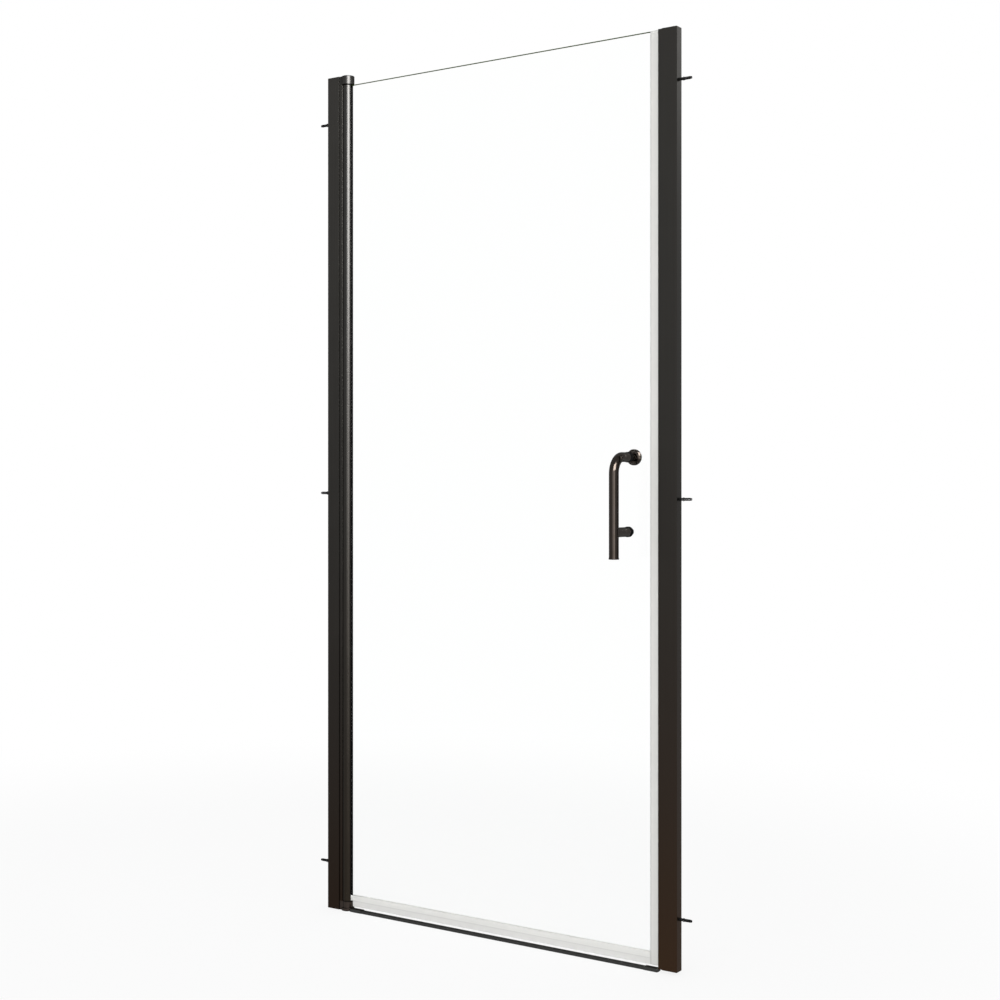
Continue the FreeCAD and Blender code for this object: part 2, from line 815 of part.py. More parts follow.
def strike_magnet():
    """A flanged clear carrier in the strike jamb's groove, and the magnet inside it."""
    body = new_body("strike_magnet_carrier")
    foot = dim.strike_foot + dim.carrier_lift
    top = strike_top
    put(body, z=foot)
    face = strike_nose - dim.carrier_proud
    back = strike_nose + dim.groove_depth - dim.magnet_fit
    half = dim.groove_width / 2 - dim.magnet_fit
    flange = half + dim.carrier_flange
    seat = strike_nose - dim.magnet_fit
    section = [
        (face, -flange), (seat, -flange), (seat, -half), (back, -half),
        (back, half), (seat, half), (seat, flange), (face, flange),
    ]
    pad(body, outline(body, "XY_Plane", section), top - foot)
    near_side = face + dim.seal_wall
    far_side = back - dim.seal_wall
    room_half = dim.magnet_width / 2
    room = [
        (near_side, -room_half), (far_side, -room_half), (far_side, room_half), (near_side, room_half),
    ]
    pocket(body, outline(body, "XY_Plane", room), top - foot, along_normal=True)
    magnet_strip("strike_magnet_strip", near_side, far_side, foot, top)


def bottom_sweep():
    """A clip under the glass with a front fin that wipes and a rear lip that sheds drips, clear of the pivot."""
    body = new_body("bottom_sweep")
    floor = dim.glass_foot - dim.glazing_fit
    web = floor - dim.sweep_web
    fin_back = -clip_outer + dim.sweep_web
    drip_root = clip_outer - dim.drip_wall
    drip_foot = web - dim.drip_drop
    section = [
        (-clip_outer, sweep_top), (-clip_outer, dim.seal_foot), (fin_back, dim.seal_foot), (fin_back, web),
        (drip_root, web), (drip_root + dim.drip_reach, drip_foot),
        (drip_root + dim.drip_reach + dim.drip_wall, drip_foot), (clip_outer, web),
        (clip_outer, sweep_top), (clip_inner, sweep_top), (clip_inner, floor),
        (-clip_inner, floor), (-clip_inner, sweep_top),
    ]
    far = seal_near - dim.seal_gap
    pad(body, outline(body, "YZ_Plane", section, lift=sweep_near), far - sweep_near)
    front = -clip_outer - dim.overrun
    back = drip_root + dim.drip_reach + dim.drip_wall + dim.overrun
    below = dim.seal_foot - dim.overrun
    corner = [(front, below), (back, below), (back, web), (front, web)]
    pocket(body, outline(body, "YZ_Plane", corner, lift=sweep_near), dim.fin_setback, along_normal=True)


def water_bar_section(front, back, height, rounding):
    """A low bar with a rounded front edge and a sloping back."""
    return [
        (front, 0), (front, height - rounding, Arc(rounding, LEFT)), (front + rounding, height),
        (back - rounding, height), (back, height - rounding), (back, 0),
    ]


def threshold():
    """A water bar on the curb between two slightly larger end caps."""
    front = -dim.channel_depth / 2
    back = front + dim.threshold_depth
    near_cap = pivot + dim.cap_diameter / 2 + dim.end_cap_gap
    far_cap = strike_nose - dim.end_cap_gap
    near_end = near_cap + dim.end_cap_length
    far_end = far_cap - dim.end_cap_length
    bar = new_body("threshold_bar")
    section = water_bar_section(front, back, dim.threshold_height, dim.threshold_round)
    pad(bar, outline(bar, "YZ_Plane", section, lift=near_end), far_end - near_end)
    wall = dim.threshold_wall
    hollow = [
        (front + wall, 0), (front + wall, dim.threshold_height - wall),
        (back - wall, dim.threshold_height - wall), (back - wall, 0),
    ]
    pocket(bar, outline(bar, "YZ_Plane", hollow, lift=near_end), far_end - near_end, along_normal=True)
    rise = dim.end_cap_rise
    cap_section = water_bar_section(
        front - rise, back + rise, dim.threshold_height + rise, dim.threshold_round)
    for label, start, tip in (
        ("threshold_end_cap_hinge", near_cap, near_cap),
        ("threshold_end_cap_strike", far_end, far_cap),
    ):
        cap = new_body(label)
        pad(cap, outline(cap, "YZ_Plane", cap_section, lift=start), dim.end_cap_length)

        def tip_edge(edge, tip=tip):
            box = edge.BoundBox
            return near(box.XMin, tip) and near(box.XMax, tip) and box.ZMax > rise.value

        dress(cap, "Fillet", "Radius", dim.end_cap_round, tip_edge)


# Handle
def handle_bar():
    """A tube up from its open foot, bent over towards the upper hole in the glass."""
    body = new_body("handle_bar")
    foot = lower_hole - dim.bar_tail
    axis_y = -(glass_half + dim.bar_reach)
    put(body, x=handle_x, y=axis_y, z=foot)
    radius = dim.bar_diameter / 2
    rings = circles(body, "XY_Plane", [(0, 0, radius), (0, 0, radius - dim.tube_wall)])
    height = dim.handle_height - foot
    path = outline(body, "YZ_Plane", [
        (0, 0), (0, height - dim.bar_bend, Arc(dim.bar_bend, LEFT)),
        (dim.bar_bend, height), (tube_end - axis_y, height),
    ], closed=False)
    pipe = body.newObject("PartDesign::AdditivePipe", "Pipe")
    pipe.Profile = rings
    pipe.Spine = path
    document.recompute()


def handle_post():
    """A short tube from the lower hole to the bar, cut to the bar's round."""
    body = new_body("handle_post")
    put(body, x=handle_x, z=lower_hole)
    radius = dim.post_diameter / 2
    axis_y = -(glass_half + dim.bar_reach)
    ring(body, radius, radius - dim.tube_wall, axis_y, tube_end)
    saddle = [(0, axis_y, dim.bar_diameter / 2 + dim.weld_gap)]
    pocket(body, circles(body, "XY_Plane", saddle), dim.post_diameter + dim.overrun, symmetric=True)


def handle_bar_cap():
    """A cap with a spigot in the bar's open foot."""
    body = new_body("handle_bar_cap")
    put(body, x=handle_x, y=-(glass_half + dim.bar_reach), z=lower_hole - dim.bar_tail)
    radius = dim.bar_cap_diameter / 2
    spigot = dim.bar_diameter / 2 - dim.tube_wall - dim.insert_fit
    edge = dim.bar_cap_edge
    section = [
        (0, -dim.bar_cap_height), (radius - edge, -dim.bar_cap_height, Arc(edge, RIGHT)),
        (radius, edge - dim.bar_cap_height), (radius, 0), (spigot, 0),
        (spigot, dim.bar_cap_spigot), (0, dim.bar_cap_spigot),
    ]
    revolve(body, outline(body, "XZ_Plane", section), "V_Axis")


def handle_fixings():
    """Inserts, collars, sleeves and washers at both of the handle's holes, and the stud of the upper one."""
    hole_places = [(handle_x, 0, z, None) for z in handle_holes]
    insert_radius = dim.post_diameter / 2 - dim.tube_wall - dim.insert_fit
    bore = stud_hole + dim.screw_hole_gap
    rings = (
        ("handle_tube_inserts", insert_radius, stud_hole, tube_end - dim.insert_depth, tube_end),
        ("handle_hole_sleeves", dim.hole_diameter / 2 - dim.sleeve_fit, bore, -glass_half, glass_half),
        ("handle_back_washers", dim.back_washer_diameter / 2, bore, glass_half, knob_seat),
    )
    for label, outer, inner, front, back in rings:
        pattern = new_body(f"{label}_pattern", kept=False)
        ring(pattern, outer, inner, front, back)
        group(label, pattern, hole_places)
    collar = new_body("collar_pattern", kept=False)
    radius = dim.collar_diameter / 2
    edge = dim.collar_edge
    section = [
        (bore, -glass_half), (radius, -glass_half), (radius, tube_end + edge, Arc(edge, LEFT)),
        (radius - edge, tube_end), (bore, tube_end),
    ]
    revolve(collar, outline(collar, "XY_Plane", section), "V_Axis")
    group("handle_collars", collar, hole_places)
    stud = new_body("handle_stud")
    put(stud, x=handle_x, z=dim.handle_height)
    ring(stud, stud_radius, None, tube_end - dim.stud_grip, knob_seat + dim.stud_bite)


def lower_handle_screw():
    """A low-headed screw from behind the glass into the lower post."""
    body = new_body("lower_handle_screw")
    put(body, x=handle_x, y=knob_seat, z=lower_hole, turn=turned_about(0, 0, 1, 90))
    length = knob_seat - tube_end + dim.stud_grip
    chamfer = dim.lower_screw_chamfer
    tip = [(-length, 0), (-length, stud_radius - chamfer), (chamfer - length, stud_radius)]
    turn_screw(body, tip, stud_radius, dim.lower_screw_head, dim.lower_screw_head_height)


def inside_knob():
    """A mushroom knob with a flared neck, a wide band, a domed face and a blind hole for the stud."""
    body = new_body("inside_knob")
    put(body, x=handle_x, y=knob_seat, z=dim.handle_height)
    length = dim.knob_length
    depth = dim.stud_bite + dim.blind_gap
    band_start, band_end = (length * share for share in KNOB_BAND_SHARES)
    section = [
        (stud_hole, 0),
        (dim.back_washer_diameter / 2, 0),
        (dim.knob_neck / 2, length * KNOB_NECK_SHARE, Arc(dim.knob_flare, RIGHT)),
        (dim.knob_diameter / 2, band_start),
        (dim.knob_diameter / 2, band_end, Arc(dim.knob_dome, RIGHT)),
        (dim.knob_face / 2, length),
        (0, length),
        (0, depth),
        (stud_hole, depth),
    ]
    revolve(body, outline(body, "XY_Plane", section), "V_Axis")


def build():
    wall_channel("hinge_wall_profile", hinge_wall, LEFT)
    wall_channel("strike_wall_profile", strike_wall, RIGHT)
    hinge_jamb()
    strike_jamb()
    wall_fixings()
    top_pivot_cap()
    bottom_pivot_block()
    pivot_bush("top_pivot_bush", cap_bottom, -1)
    pivot_bush("bottom_pivot_bush", dim.block_height, 1)
    bracket_screws()
    hinge_stile()
    stile_plug("top_stile_plug", stile_top - dim.plug_length)
    stile_plug("bottom_stile_plug", stile_foot)
    pivot_pin("top_pivot_pin", cap_bottom, stile_top, -1)
    pivot_pin("bottom_pivot_pin", dim.block_height, stile_foot, 1)
    glazing_channel()
    glass_panel()
    door_magnet_seal()
    strike_magnet()
    bottom_sweep()
    threshold()
    handle_bar()
    handle_post()
    handle_bar_cap()
    handle_fixings()
    inside_knob()
    lower_handle_screw()


def check():
    """Stop if any object failed to compute or any piece has no sound shape."""
    for thing in document.Objects:
        if {"Invalid", "Error"} & set(thing.State):
            raise ValueError(f"{thing.Label} failed to compute")
    for piece in pieces:
        if piece.Shape.isNull() or not piece.Shape.isValid() or not piece.Shape.Solids:
            raise ValueError(f"{piece.Label} has no sound shape")


build()
document.recompute()
check()
os.makedirs("parts", exist_ok=True)
for piece in pieces:
    piece.Shape.exportStep(f"parts/{piece.Label}.step")
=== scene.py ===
"""A pivot shower door in dark bronze, clear glass and vinyl, dressed and lit for a studio picture."""

import json
import math

import bmesh
import bpy
from bpy.props import FloatProperty, FloatVectorProperty, PointerProperty
from mathutils import Matrix, Vector

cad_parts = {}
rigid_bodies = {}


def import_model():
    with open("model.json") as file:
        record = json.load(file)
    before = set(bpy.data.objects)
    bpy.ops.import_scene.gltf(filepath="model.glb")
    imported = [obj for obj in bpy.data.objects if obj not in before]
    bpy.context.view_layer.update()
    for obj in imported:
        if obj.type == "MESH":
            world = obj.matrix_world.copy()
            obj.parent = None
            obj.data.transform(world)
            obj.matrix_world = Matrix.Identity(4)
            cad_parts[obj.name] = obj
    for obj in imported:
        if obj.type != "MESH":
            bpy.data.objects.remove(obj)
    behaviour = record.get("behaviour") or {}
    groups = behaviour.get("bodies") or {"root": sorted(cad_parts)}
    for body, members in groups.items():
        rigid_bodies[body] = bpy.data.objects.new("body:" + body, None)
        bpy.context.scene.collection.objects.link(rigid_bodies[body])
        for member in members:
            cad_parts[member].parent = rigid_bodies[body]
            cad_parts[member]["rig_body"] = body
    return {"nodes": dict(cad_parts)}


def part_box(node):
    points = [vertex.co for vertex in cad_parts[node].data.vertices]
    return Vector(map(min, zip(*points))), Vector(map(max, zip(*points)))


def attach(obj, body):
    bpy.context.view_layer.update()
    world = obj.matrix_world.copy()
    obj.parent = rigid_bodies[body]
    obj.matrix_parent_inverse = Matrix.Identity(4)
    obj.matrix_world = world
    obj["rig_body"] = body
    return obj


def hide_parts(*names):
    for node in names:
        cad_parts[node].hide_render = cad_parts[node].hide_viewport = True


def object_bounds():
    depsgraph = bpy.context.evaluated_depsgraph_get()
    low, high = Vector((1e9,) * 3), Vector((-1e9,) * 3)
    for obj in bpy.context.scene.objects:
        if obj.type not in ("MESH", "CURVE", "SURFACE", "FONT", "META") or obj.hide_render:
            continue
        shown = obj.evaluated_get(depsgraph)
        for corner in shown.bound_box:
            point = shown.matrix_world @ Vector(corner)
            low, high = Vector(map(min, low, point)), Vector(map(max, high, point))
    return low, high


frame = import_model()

bl_info = {
    "name": "Pivot Shower Door",
    "version": (1, 0, 0),
    "blender": (4, 5, 0),
    "location": "3D View > Sidebar > Shower Door",
    "description": "Dresses a pivot shower door in bronze, glass and vinyl, and sets up its studio",
    "category": "Object",
}

CAD_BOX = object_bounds()
NODES = frame["nodes"]
MM = 0.001


# Settings that a user would change
class BronzeSettings(bpy.types.PropertyGroup):
    """Colours of the dark bronze finishes."""

    coating: FloatVectorProperty(
        name="Coating", description="Satin coating on the extrusions", subtype="COLOR",
        size=4, min=0, max=1, default=(0.0290, 0.0277, 0.0256, 1))
    coating_pale: FloatVectorProperty(
        name="Coating streaks", description="Paler streaks along the extrusions", subtype="COLOR",
        size=4, min=0, max=1, default=(0.0390, 0.0373, 0.0344, 1))
    # Painted shade: the frame's colour at the floor, browner and darker, standing for light that falls off
    # and warms low down
    coating_foot_shade: FloatVectorProperty(
        name="Coating at the foot", description="Browner cast of the coating towards the floor",
        subtype="COLOR", size=4, min=0, max=1, default=(0.020, 0.013, 0.009, 1))
    # Painted shade: the strike upright's colour at the floor, warmer, standing for warm light low down
    strike_foot_shade: FloatVectorProperty(
        name="Strike side at the foot", description="Warmer cast of the strike upright towards the floor",
        subtype="COLOR", size=4, min=0, max=1, default=(0.0388, 0.022, 0.0127, 1))
    stile: FloatVectorProperty(
        name="Stile", description="Smoother coating on the hinge stile", subtype="COLOR",
        size=4, min=0, max=1, default=(0.031, 0.0304, 0.0293, 1))
    stile_pale: FloatVectorProperty(
        name="Stile streaks", description="Paler streaks along the hinge stile", subtype="COLOR",
        size=4, min=0, max=1, default=(0.0342, 0.0334, 0.0321, 1))
    # Painted shade: the stile's colour at the floor, browner and darker, standing for light that falls off
    # and warms low down; the plating's haze also borrows it as a random tone
    stile_foot: FloatVectorProperty(
        name="Stile at the foot", description="Browner cast of the stile towards the floor",
        subtype="COLOR", size=4, min=0, max=1, default=(0.0240, 0.0192, 0.0145, 1))
    fitting: FloatVectorProperty(
        name="Fittings", description="Caps, blocks and end caps", subtype="COLOR",
        size=4, min=0, max=1, default=(0.034, 0.033, 0.0318, 1))
    # Painted shade: the bottom pivot's browner colour, standing for warm light low down
    fitting_foot_shade: FloatVectorProperty(
        name="Fittings at the foot", description="Browner cast of the bottom pivot", subtype="COLOR",
        size=4, min=0, max=1, default=(0.040, 0.031, 0.0265, 1))
    threshold: FloatVectorProperty(
        name="Threshold", description="Greyer coating on the water bar", subtype="COLOR",
        size=4, min=0, max=1, default=(0.044, 0.0445, 0.043, 1))
    plating: FloatVectorProperty(
        name="Plating", description="Polished plating of the handle and knob", subtype="COLOR",
        size=4, min=0, max=1, default=(0.031, 0.026, 0.024, 1))
    coating_roughness: FloatProperty(
        name="Coating roughness", description="How satin the coating of the frame is", subtype="FACTOR",
        min=0, max=1, default=0.42)
    stile_roughness: FloatProperty(
        name="Stile roughness", description="How satin the coating of the stile is", subtype="FACTOR",
        min=0, max=1, default=0.33)
    plating_roughness: FloatProperty(
        name="Plating roughness", description="How polished the plating is", subtype="FACTOR",
        min=0, max=1, default=0.13)


class ClearSettings(bpy.types.PropertyGroup):
    """Colours of the glass, the vinyl and the magnets."""

    glass: FloatVectorProperty(
        name="Glass", description="Clear glass seen through its faces", subtype="COLOR",
        size=4, min=0, max=1, default=(0.997, 0.999, 0.998, 1))
    glass_edge: FloatVectorProperty(
        name="Glass edge", description="Deep green of the ground edges", subtype="COLOR",
        size=4, min=0, max=1, default=(0.045, 0.075, 0.012, 1))
    glass_shine: FloatProperty(
        name="Glass shine", description="Share of the glass's reflections that shows", subtype="FACTOR",
        min=0, max=1, default=0.15)
    seal: FloatVectorProperty(
        name="Seal", description="Clear vinyl of the upright seals", subtype="COLOR",
        size=4, min=0, max=1, default=(0.82, 0.815, 0.785, 1))
    sweep: FloatVectorProperty(
        name="Sweep", description="Paler vinyl of the sweep under the glass", subtype="COLOR",
        size=4, min=0, max=1, default=(0.985, 0.98, 0.955, 1))
    vinyl_cloud: FloatVectorProperty(
        name="Vinyl streaks", description="Cloudier streaks along the seals and the sweep", subtype="COLOR",
        size=4, min=0, max=1, default=(0.80, 0.797, 0.772, 1))
    magnet: FloatVectorProperty(
        name="Magnet", description="White-faced flexible magnets", subtype="COLOR",
        size=4, min=0, max=1, default=(0.74, 0.74, 0.73, 1))


class ShapeSettings(bpy.types.PropertyGroup):
    """Sizes of the rounded edges and the wall plugs."""

    edge_round: FloatProperty(
        name="Edge rounding", description="Rounding along the edges of the metal extrusions", unit="LENGTH",
        min=0, default=0.12 * MM)
    seal_round: FloatProperty(
        name="Seal rounding", description="Rounding along the edges of the seals", unit="LENGTH",
        min=0, default=0.4 * MM)
    lip_round: FloatProperty(
        name="Lip rounding", description="How far back the rounding of the hinge jamb's lips starts",
        unit="LENGTH", min=0, default=3 * MM)
    plug_inset: FloatProperty(
        name="Plug inset", description="How far the outer plugs are from the ends of a channel",
        unit="LENGTH", min=0, default=100 * MM)
    plug_length: FloatProperty(
        name="Plug length", description="How far a plug reaches into the wall", unit="LENGTH",
        min=0, default=-CAD_BOX[0][0])
    plug_radius: FloatProperty(
        name="Plug radius", description="Radius over a plug's ribs", unit="LENGTH", min=0, default=3 * MM)
    plug_wing: FloatProperty(
        name="Plug wing", description="How far a plug's wings reach from its axis", unit="LENGTH",
        min=0, default=3.8 * MM)


class StudioSettings(bpy.types.PropertyGroup):
    """The camera, the lamps and the floor."""

    camera_place: FloatVectorProperty(
        name="Camera place", description="Where the camera stands", subtype="TRANSLATION",
        unit="LENGTH", size=3, default=(2.265, -2.6885, 0.9476))
    camera_turn: FloatProperty(
        name="Camera turn", description="How far the level camera turns left from straight ahead",
        subtype="ANGLE", default=math.radians(34))
    lens: FloatProperty(
        name="Lens", description="Focal length in millimetres on a 36 mm sensor", min=10, default=56.86)
    horizon_share: FloatProperty(
        name="Horizon", description="Height of the horizon above the picture's middle, as a share of it",
        default=0.022)
    floor_size: FloatProperty(
        name="Floor", description="Side of the floor", unit="LENGTH", min=2, default=24)
    floor_colour: FloatVectorProperty(
        name="Floor colour", description="Plain pale floor", subtype="COLOR",
        size=4, min=0, max=1, default=(0.88, 0.88, 0.88, 1))
    ambient: FloatVectorProperty(
        name="Ambient", description="Soft light from all round", subtype="COLOR",
        size=4, min=0, max=1, default=(0.78, 0.785, 0.79, 1))
    key_power: FloatProperty(
        name="Key lamp", description="Power of the large soft lamp in front", min=0, default=30)
    card_power: FloatProperty(
        name="High card", description="Power of the bright card that the metal reflects high up",
        min=0, default=500)
    low_card_power: FloatProperty(
        name="Low card", description="Power of the dimmer card that the metal reflects lower down",
        min=0, default=34)
    side_card_power: FloatProperty(
        name="Side card", description="Power of the card that the strike channel's side reflects", min=0,
        default=16)


# Colours that don't depend on a setting
BLACK = (0.002, 0.002, 0.002, 1)
WHITE = (1, 1, 1, 1)
GRAZING_GLOSS = (0.7, 0.7, 0.7, 1)
# Painted shade: the dark matt colour that the metals turn to edge on, standing for dark surroundings
# reflected at their rims
PAINTED_EDGE_SHADE = (0.016, 0.014, 0.012, 1)

# Shares of the way from face on to edge on between which the gloss of a dark metal gives way to painted
# edge shade
FITTING_FADE = (0.38, 0.78)
FRAME_FADE = (0.5, 0.83)

# How a pattern is squeezed so that it runs along an upright or a level extrusion
UPRIGHT = (800, 800, 5)
LEVEL = (5, 800, 800)

# How the frame's coating gives way to painted edge shade edge on, and how painted shade makes it browner
# and darker towards the floor
FRAME_FALL = {"fade": FRAME_FADE, "rise": 4, "shade_to_foot": 0.45}


# Shader expressions
class Wire:
    """An output socket that takes part in Python sums, which add their Math nodes to the tree."""

    def __init__(self, finish, socket):
        self.finish = finish
        self.socket = socket

    def __add__(self, other):
        return self.finish.maths("ADD", self, other)

    __radd__ = __add__

    def __sub__(self, other):
        return self.finish.maths("SUBTRACT", self, other)

    def __rsub__(self, other):
        return self.finish.maths("SUBTRACT", other, self)

    def __mul__(self, other):
        return self.finish.maths("MULTIPLY", self, other)

    __rmul__ = __mul__

    def __or__(self, other):
        return self.finish.maths("MAXIMUM", self, other)

    def __gt__(self, other):
        return self.finish.maths("GREATER_THAN", self, other)

    def __abs__(self):
        return self.finish.maths("ABSOLUTE", self)


class Finish:
    """The node tree of a material or of the world."""

    def __init__(self, owner):
        owner.use_nodes = True
        self.owner = owner
        self.tree = owner.node_tree
        self.tree.nodes.clear()

    def node(self, kind, settings=None, sockets=None, out=0):
        """Add a node, set it up, feed its sockets and return one of its outputs."""
        node = self.tree.nodes.new(f"ShaderNode{kind}")
        for name, value in (settings or {}).items():
            setattr(node, name, value)
        for name, value in (sockets or {}).items():
            if isinstance(value, Wire):
                self.tree.links.new(value.socket, node.inputs[name])
            else:
                node.inputs[name].default_value = value
        return Wire(self, node.outputs[out]) if node.outputs else None

    def maths(self, operation, *values):
        return self.node("Math", {"operation": operation}, dict(enumerate(values)))

    def mixed(self, share, first, second):
        """A colour between two others."""
        return self.node("Mix", {"data_type": "RGBA"}, {0: share, 6: first, 7: second}, out=2)

    def noise(self, scale, detail, stretch=(1, 1, 1)):
        """Cloudy values about a half, on the object's own coordinates."""
        coordinates = self.node("TexCoord", out="Object")
        place = self.node("Mapping", sockets={"Vector": coordinates, "Scale": stretch})
        return self.node("TexNoise", sockets={"Vector": place, "Scale": scale, "Detail": detail})

    def coordinate(self, axis, kind="Object"):
        """One of an object's own coordinates, or of its normal."""
        place = self.node("TexCoord", out=kind)
        return self.node("SeparateXYZ", sockets={"Vector": place}, out=axis)

    def lowness(self):
        """How far a point is on the way from the top of the door to its foot."""
        height = self.coordinate("Z")
        return self.node("MapRange", sockets={"Value": height, "From Min": CAD_BOX[1][2], "From Max": 0})

    def bump(self, height, strength, distance):
        return self.node("Bump", sockets={"Strength": strength, "Distance": distance, "Height": height})

    def facing(self):
        """Nought where a surface is seen face on, and one where it is seen edge on."""
        return self.node("LayerWeight", sockets={"Blend": 0.5}, out="Facing")

    def principled(self, **sockets):
        """The usual shader, with socket names written with underscores."""
        named = {name.replace("_", " "): value for name, value in sockets.items()}
        return self.node("BsdfPrincipled", sockets=named)

    def output(self, shader):
        self.node("OutputMaterial", sockets={"Surface": shader})
        return self.owner

    def bronze(self, fade=FITTING_FADE, **sockets):
        """A dark metal whose gloss gives way, where it is seen edge on, to a painted dark shade standing
        for dark surroundings reflected at its rims.
        """
        metal = self.principled(Metallic=1, Specular_Tint=GRAZING_GLOSS, **sockets)
        edge_shade_diffuse = self.node("BsdfDiffuse", sockets={"Color": PAINTED_EDGE_SHADE})
        edge_shade_share = self.node("MapRange", {"interpolation_type": "SMOOTHSTEP"}, {
            "Value": self.facing(), "From Min": fade[0], "From Max": fade[1]})
        return self.output(self.node("MixShader", sockets={0: edge_shade_share, 1: metal, 2: edge_shade_diffuse}))

    def surface(self, **sockets):
        """The usual shader on the material's output."""
        return self.output(self.principled(**sockets))


def new_finish(name):
    return Finish(bpy.data.materials.new(name))


# Finishes
def bronze_coating(name, base, streak, foot, roughness, stretch, fade=FITTING_FADE, rise=2, shade_to_foot=0.33):
    """Satin dark bronze on an extrusion: fine streaks, a faint mottle, and painted shade that makes it
    browner and darker towards the foot.
    """
    finish = new_finish(name)
    streaks = finish.noise(scale=1, detail=4, stretch=stretch)
    mottle = finish.noise(scale=14, detail=3)
    streaked = finish.mixed(streaks * 0.6 + mottle * 0.4, base, streak)
    # Painted shade: darker and browner towards the foot, standing for light that falls off and warms low
    # down
    low = finish.lowness()
    foot_shaded = finish.mixed(low * shade_to_foot, streaked, BLACK)
    cast = finish.maths("POWER", low, rise)
    return finish.bronze(
        fade=fade, Base_Color=finish.mixed(cast, foot_shaded, foot),
        Roughness=roughness + (streaks - 0.5) * 0.16 + (mottle - 0.5) * 0.1,
        Normal=finish.bump(streaks, strength=0.12, distance=0.05 * MM))


def bronze_fitting(name, foot):
    """Darker bronze on a cast fitting, with a fine even grain, and painted shade that grades it towards the
    foot colour lower down.
    """
    look = bpy.context.scene.door_bronze
    finish = new_finish(name)
    grain = finish.noise(scale=1600, detail=3)
    mottle = finish.noise(scale=40, detail=2)
    colour = finish.mixed(mottle, look.fitting, look.stile)
    # Painted shade: the colour grades towards the foot colour lower down, for the way the light changes
    # near the floor
    return finish.bronze(
        Base_Color=finish.mixed(finish.lowness() * 0.95, colour, foot),
        Roughness=0.34 + (mottle - 0.5) * 0.12,
        Normal=finish.bump(grain, strength=0.1, distance=0.04 * MM))


def bronze_plating():
    """Polished dark bronze plating with faint wear."""
    look = bpy.context.scene.door_bronze
    finish = new_finish("polished_bronze_plating")
    haze = finish.noise(scale=60, detail=3)
    colour = finish.mixed(haze, look.plating, look.stile_foot)
    roughness = look.plating_roughness + (haze - 0.5) * 0.1
    return finish.bronze(fade=FRAME_FADE, Base_Color=colour, Roughness=roughness)


def clear_glass():
    """Clear glass whose ground edges and arrises look deep green, and black where they sit in the stile's
    slot, which is painted shade.
    """
    look = bpy.context.scene.door_clear
    finish = new_finish("clear_glass")
    head_on = 0.04
    shine = head_on + (1 - head_on) * finish.maths("POWER", finish.facing(), 5)
    clear = finish.node("BsdfTransparent", sockets={"Color": look.glass})
    gloss = finish.principled(Base_Color=WHITE, Metallic=1, Roughness=0)
    face = finish.node("MixShader", sockets={0: shine * look.glass_shine, 1: clear, 2: gloss})
    # Painted shade: the edges inside the stile's slot are black, standing for the shade there
    free = finish.coordinate("X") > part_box("bottom_sweep")[0].x
    grain = finish.noise(scale=400, detail=3)
    edge = finish.principled(
        Base_Color=finish.mixed(free, BLACK, look.glass_edge), Roughness=0.5 + (grain - 0.5) * 0.2,
        IOR=1.5, Specular_IOR_Level=0.04)
    on_face = abs(finish.coordinate("Y", "Normal")) > 0.9
    return finish.output(finish.node("MixShader", sockets={0: on_face, 1: edge, 2: face}))


def clear_vinyl(name, base, cloud, clearness, stretch, axis, shade_line, reach):
    """Cloudy clear vinyl with faint lines along its extrusion, and painted shade: darker below a line along
    the given axis, and darker still along it.
    """
    finish = new_finish(name)
    lines = finish.noise(scale=1, detail=3, stretch=stretch)
    # Painted shade: shares towards black below the line and on it, standing for the shade at a step in the
    # section
    before, shade_on_line = 0.07, 0.1
    across = finish.coordinate(axis)
    painted_shade_share = before + shade_on_line - before * (across > shade_line) - shade_on_line * (abs(across - shade_line) > reach)
    colour = finish.mixed(lines * 0.3, base, cloud)
    return finish.surface(
        Base_Color=finish.mixed(painted_shade_share, colour, BLACK), Roughness=0.3 + (lines - 0.5) * 0.04,
        IOR=1.5, Transmission_Weight=clearness)


def white_magnet():
    """A white-faced flexible magnet."""
    look = bpy.context.scene.door_clear
    finish = new_finish("white_magnet")
    specks = finish.noise(scale=900, detail=2)
    colour = finish.mixed(specks * 0.3, look.magnet, look.seal)
    return finish.surface(Base_Color=colour, Roughness=0.6 + (specks - 0.5) * 0.1)


def black_rubber():
    """Matt black rubber with a fine bloom."""
    finish = new_finish("black_rubber")
    bloom = finish.noise(scale=220, detail=3)
    colour = finish.mixed(bloom, BLACK, (0.005, 0.005, 0.005, 1))
    return finish.surface(
        Base_Color=colour, Roughness=0.75 + (bloom - 0.5) * 0.2, Specular_IOR_Level=0.03,
        Normal=finish.bump(bloom, strength=0.1, distance=0.05 * MM))


def black_nylon():
    """Moulded black nylon with a fine spark grain."""
    finish = new_finish("black_nylon")
    grain = finish.noise(scale=1500, detail=2)
    colour = finish.mixed(grain, BLACK, (0.007, 0.007, 0.007, 1))
    return finish.surface(
        Base_Color=colour, Roughness=0.5 + (grain - 0.5) * 0.2, Specular_IOR_Level=0.06,
        Normal=finish.bump(grain, strength=0.2, distance=0.04 * MM))


def zinc_steel():
    """Zinc-plated steel, slightly mottled."""
    finish = new_finish("zinc_steel")
    mottle = finish.noise(scale=300, detail=3)
    colour = finish.mixed(mottle, (0.50, 0.50, 0.51, 1), (0.62, 0.62, 0.63, 1))
    return finish.surface(Base_Color=colour, Metallic=1, Roughness=0.3 + (mottle - 0.5) * 0.2)


def dress(material, *names):
    """Give CAD nodes their finish."""
    for name in names:
        NODES[name].material_slots[0].material = material


# Limits for welding points, merging flat faces, finding sharp long edges and shading smooth
WELD = 0.002 * MM
FLAT = math.radians(1)
SHARP = math.radians(30)
RUN_LENGTH = 50 * MM
SMOOTH_BELOW = math.radians(35)

FULL_TURN = 2 * math.pi


